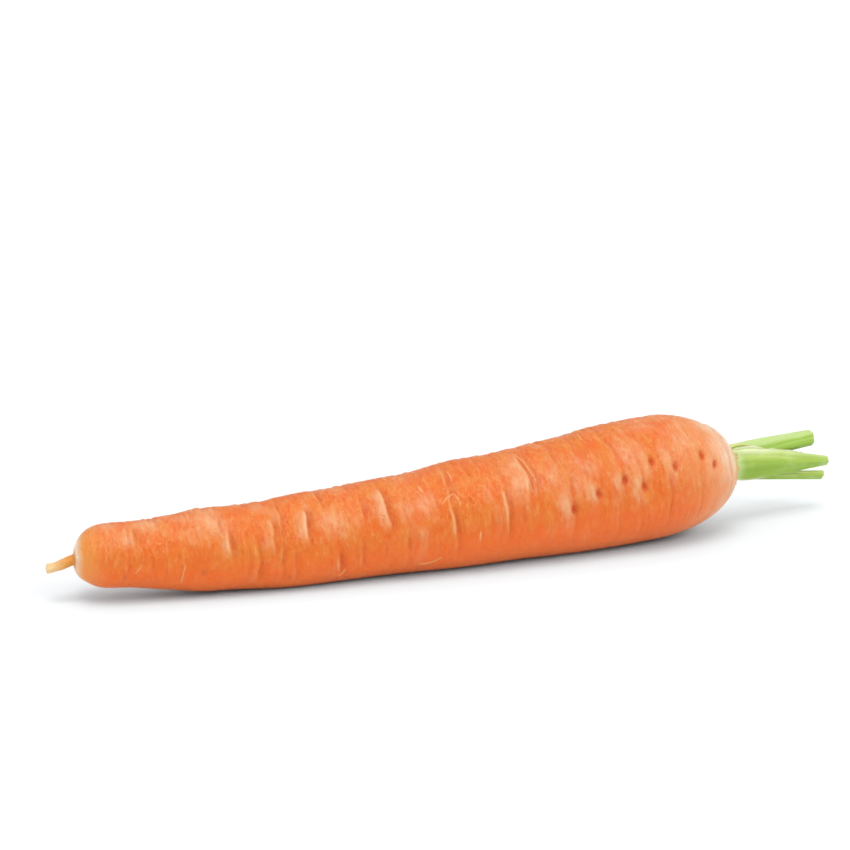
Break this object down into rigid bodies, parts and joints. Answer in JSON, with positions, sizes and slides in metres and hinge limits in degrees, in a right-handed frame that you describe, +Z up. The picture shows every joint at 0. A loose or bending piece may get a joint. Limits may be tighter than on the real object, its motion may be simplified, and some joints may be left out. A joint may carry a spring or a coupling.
{
  "type": "carrot",
  "caption": "Orange carrot lying on its side, blunt root with a thin tail, growth creases and a round crown, and green leaf stalks cut short.",
  "frame": {"origin": "under the middle of the whole carrot, on the surface that it lies on", "axes": "+X runs from the thin tail to the crown and the cut leaf stalks, +Z is up, and -Y is the side that bows outward"},
  "size_m": [0.229, 0.0348, 0.0342],
  "materials": {
    "carrot_skin": "satin fresh carrot skin, orange, paler at the crown and the tip",
    "stalk_green": "smooth ribbed leaf stalk, light green",
    "stalk_pale_green": "smooth ribbed leaf stalk, pale green",
    "stalk_deep_green": "smooth ribbed leaf stalk, deeper green",
    "stalk_yellow_green": "thin leaf stalk turning yellow",
    "stalk_dry": "dry broken leaf stalk, olive and brown"
  },
  "bodies": {
    "root": {"taproot": "carrot_skin", "petiole_middle": "stalk_green", "petiole_upper": "stalk_pale_green", "petiole_lower": "stalk_deep_green", "petiole_back": "stalk_yellow_green", "petiole_stub": "stalk_dry"}
  },
  "joints": []
}
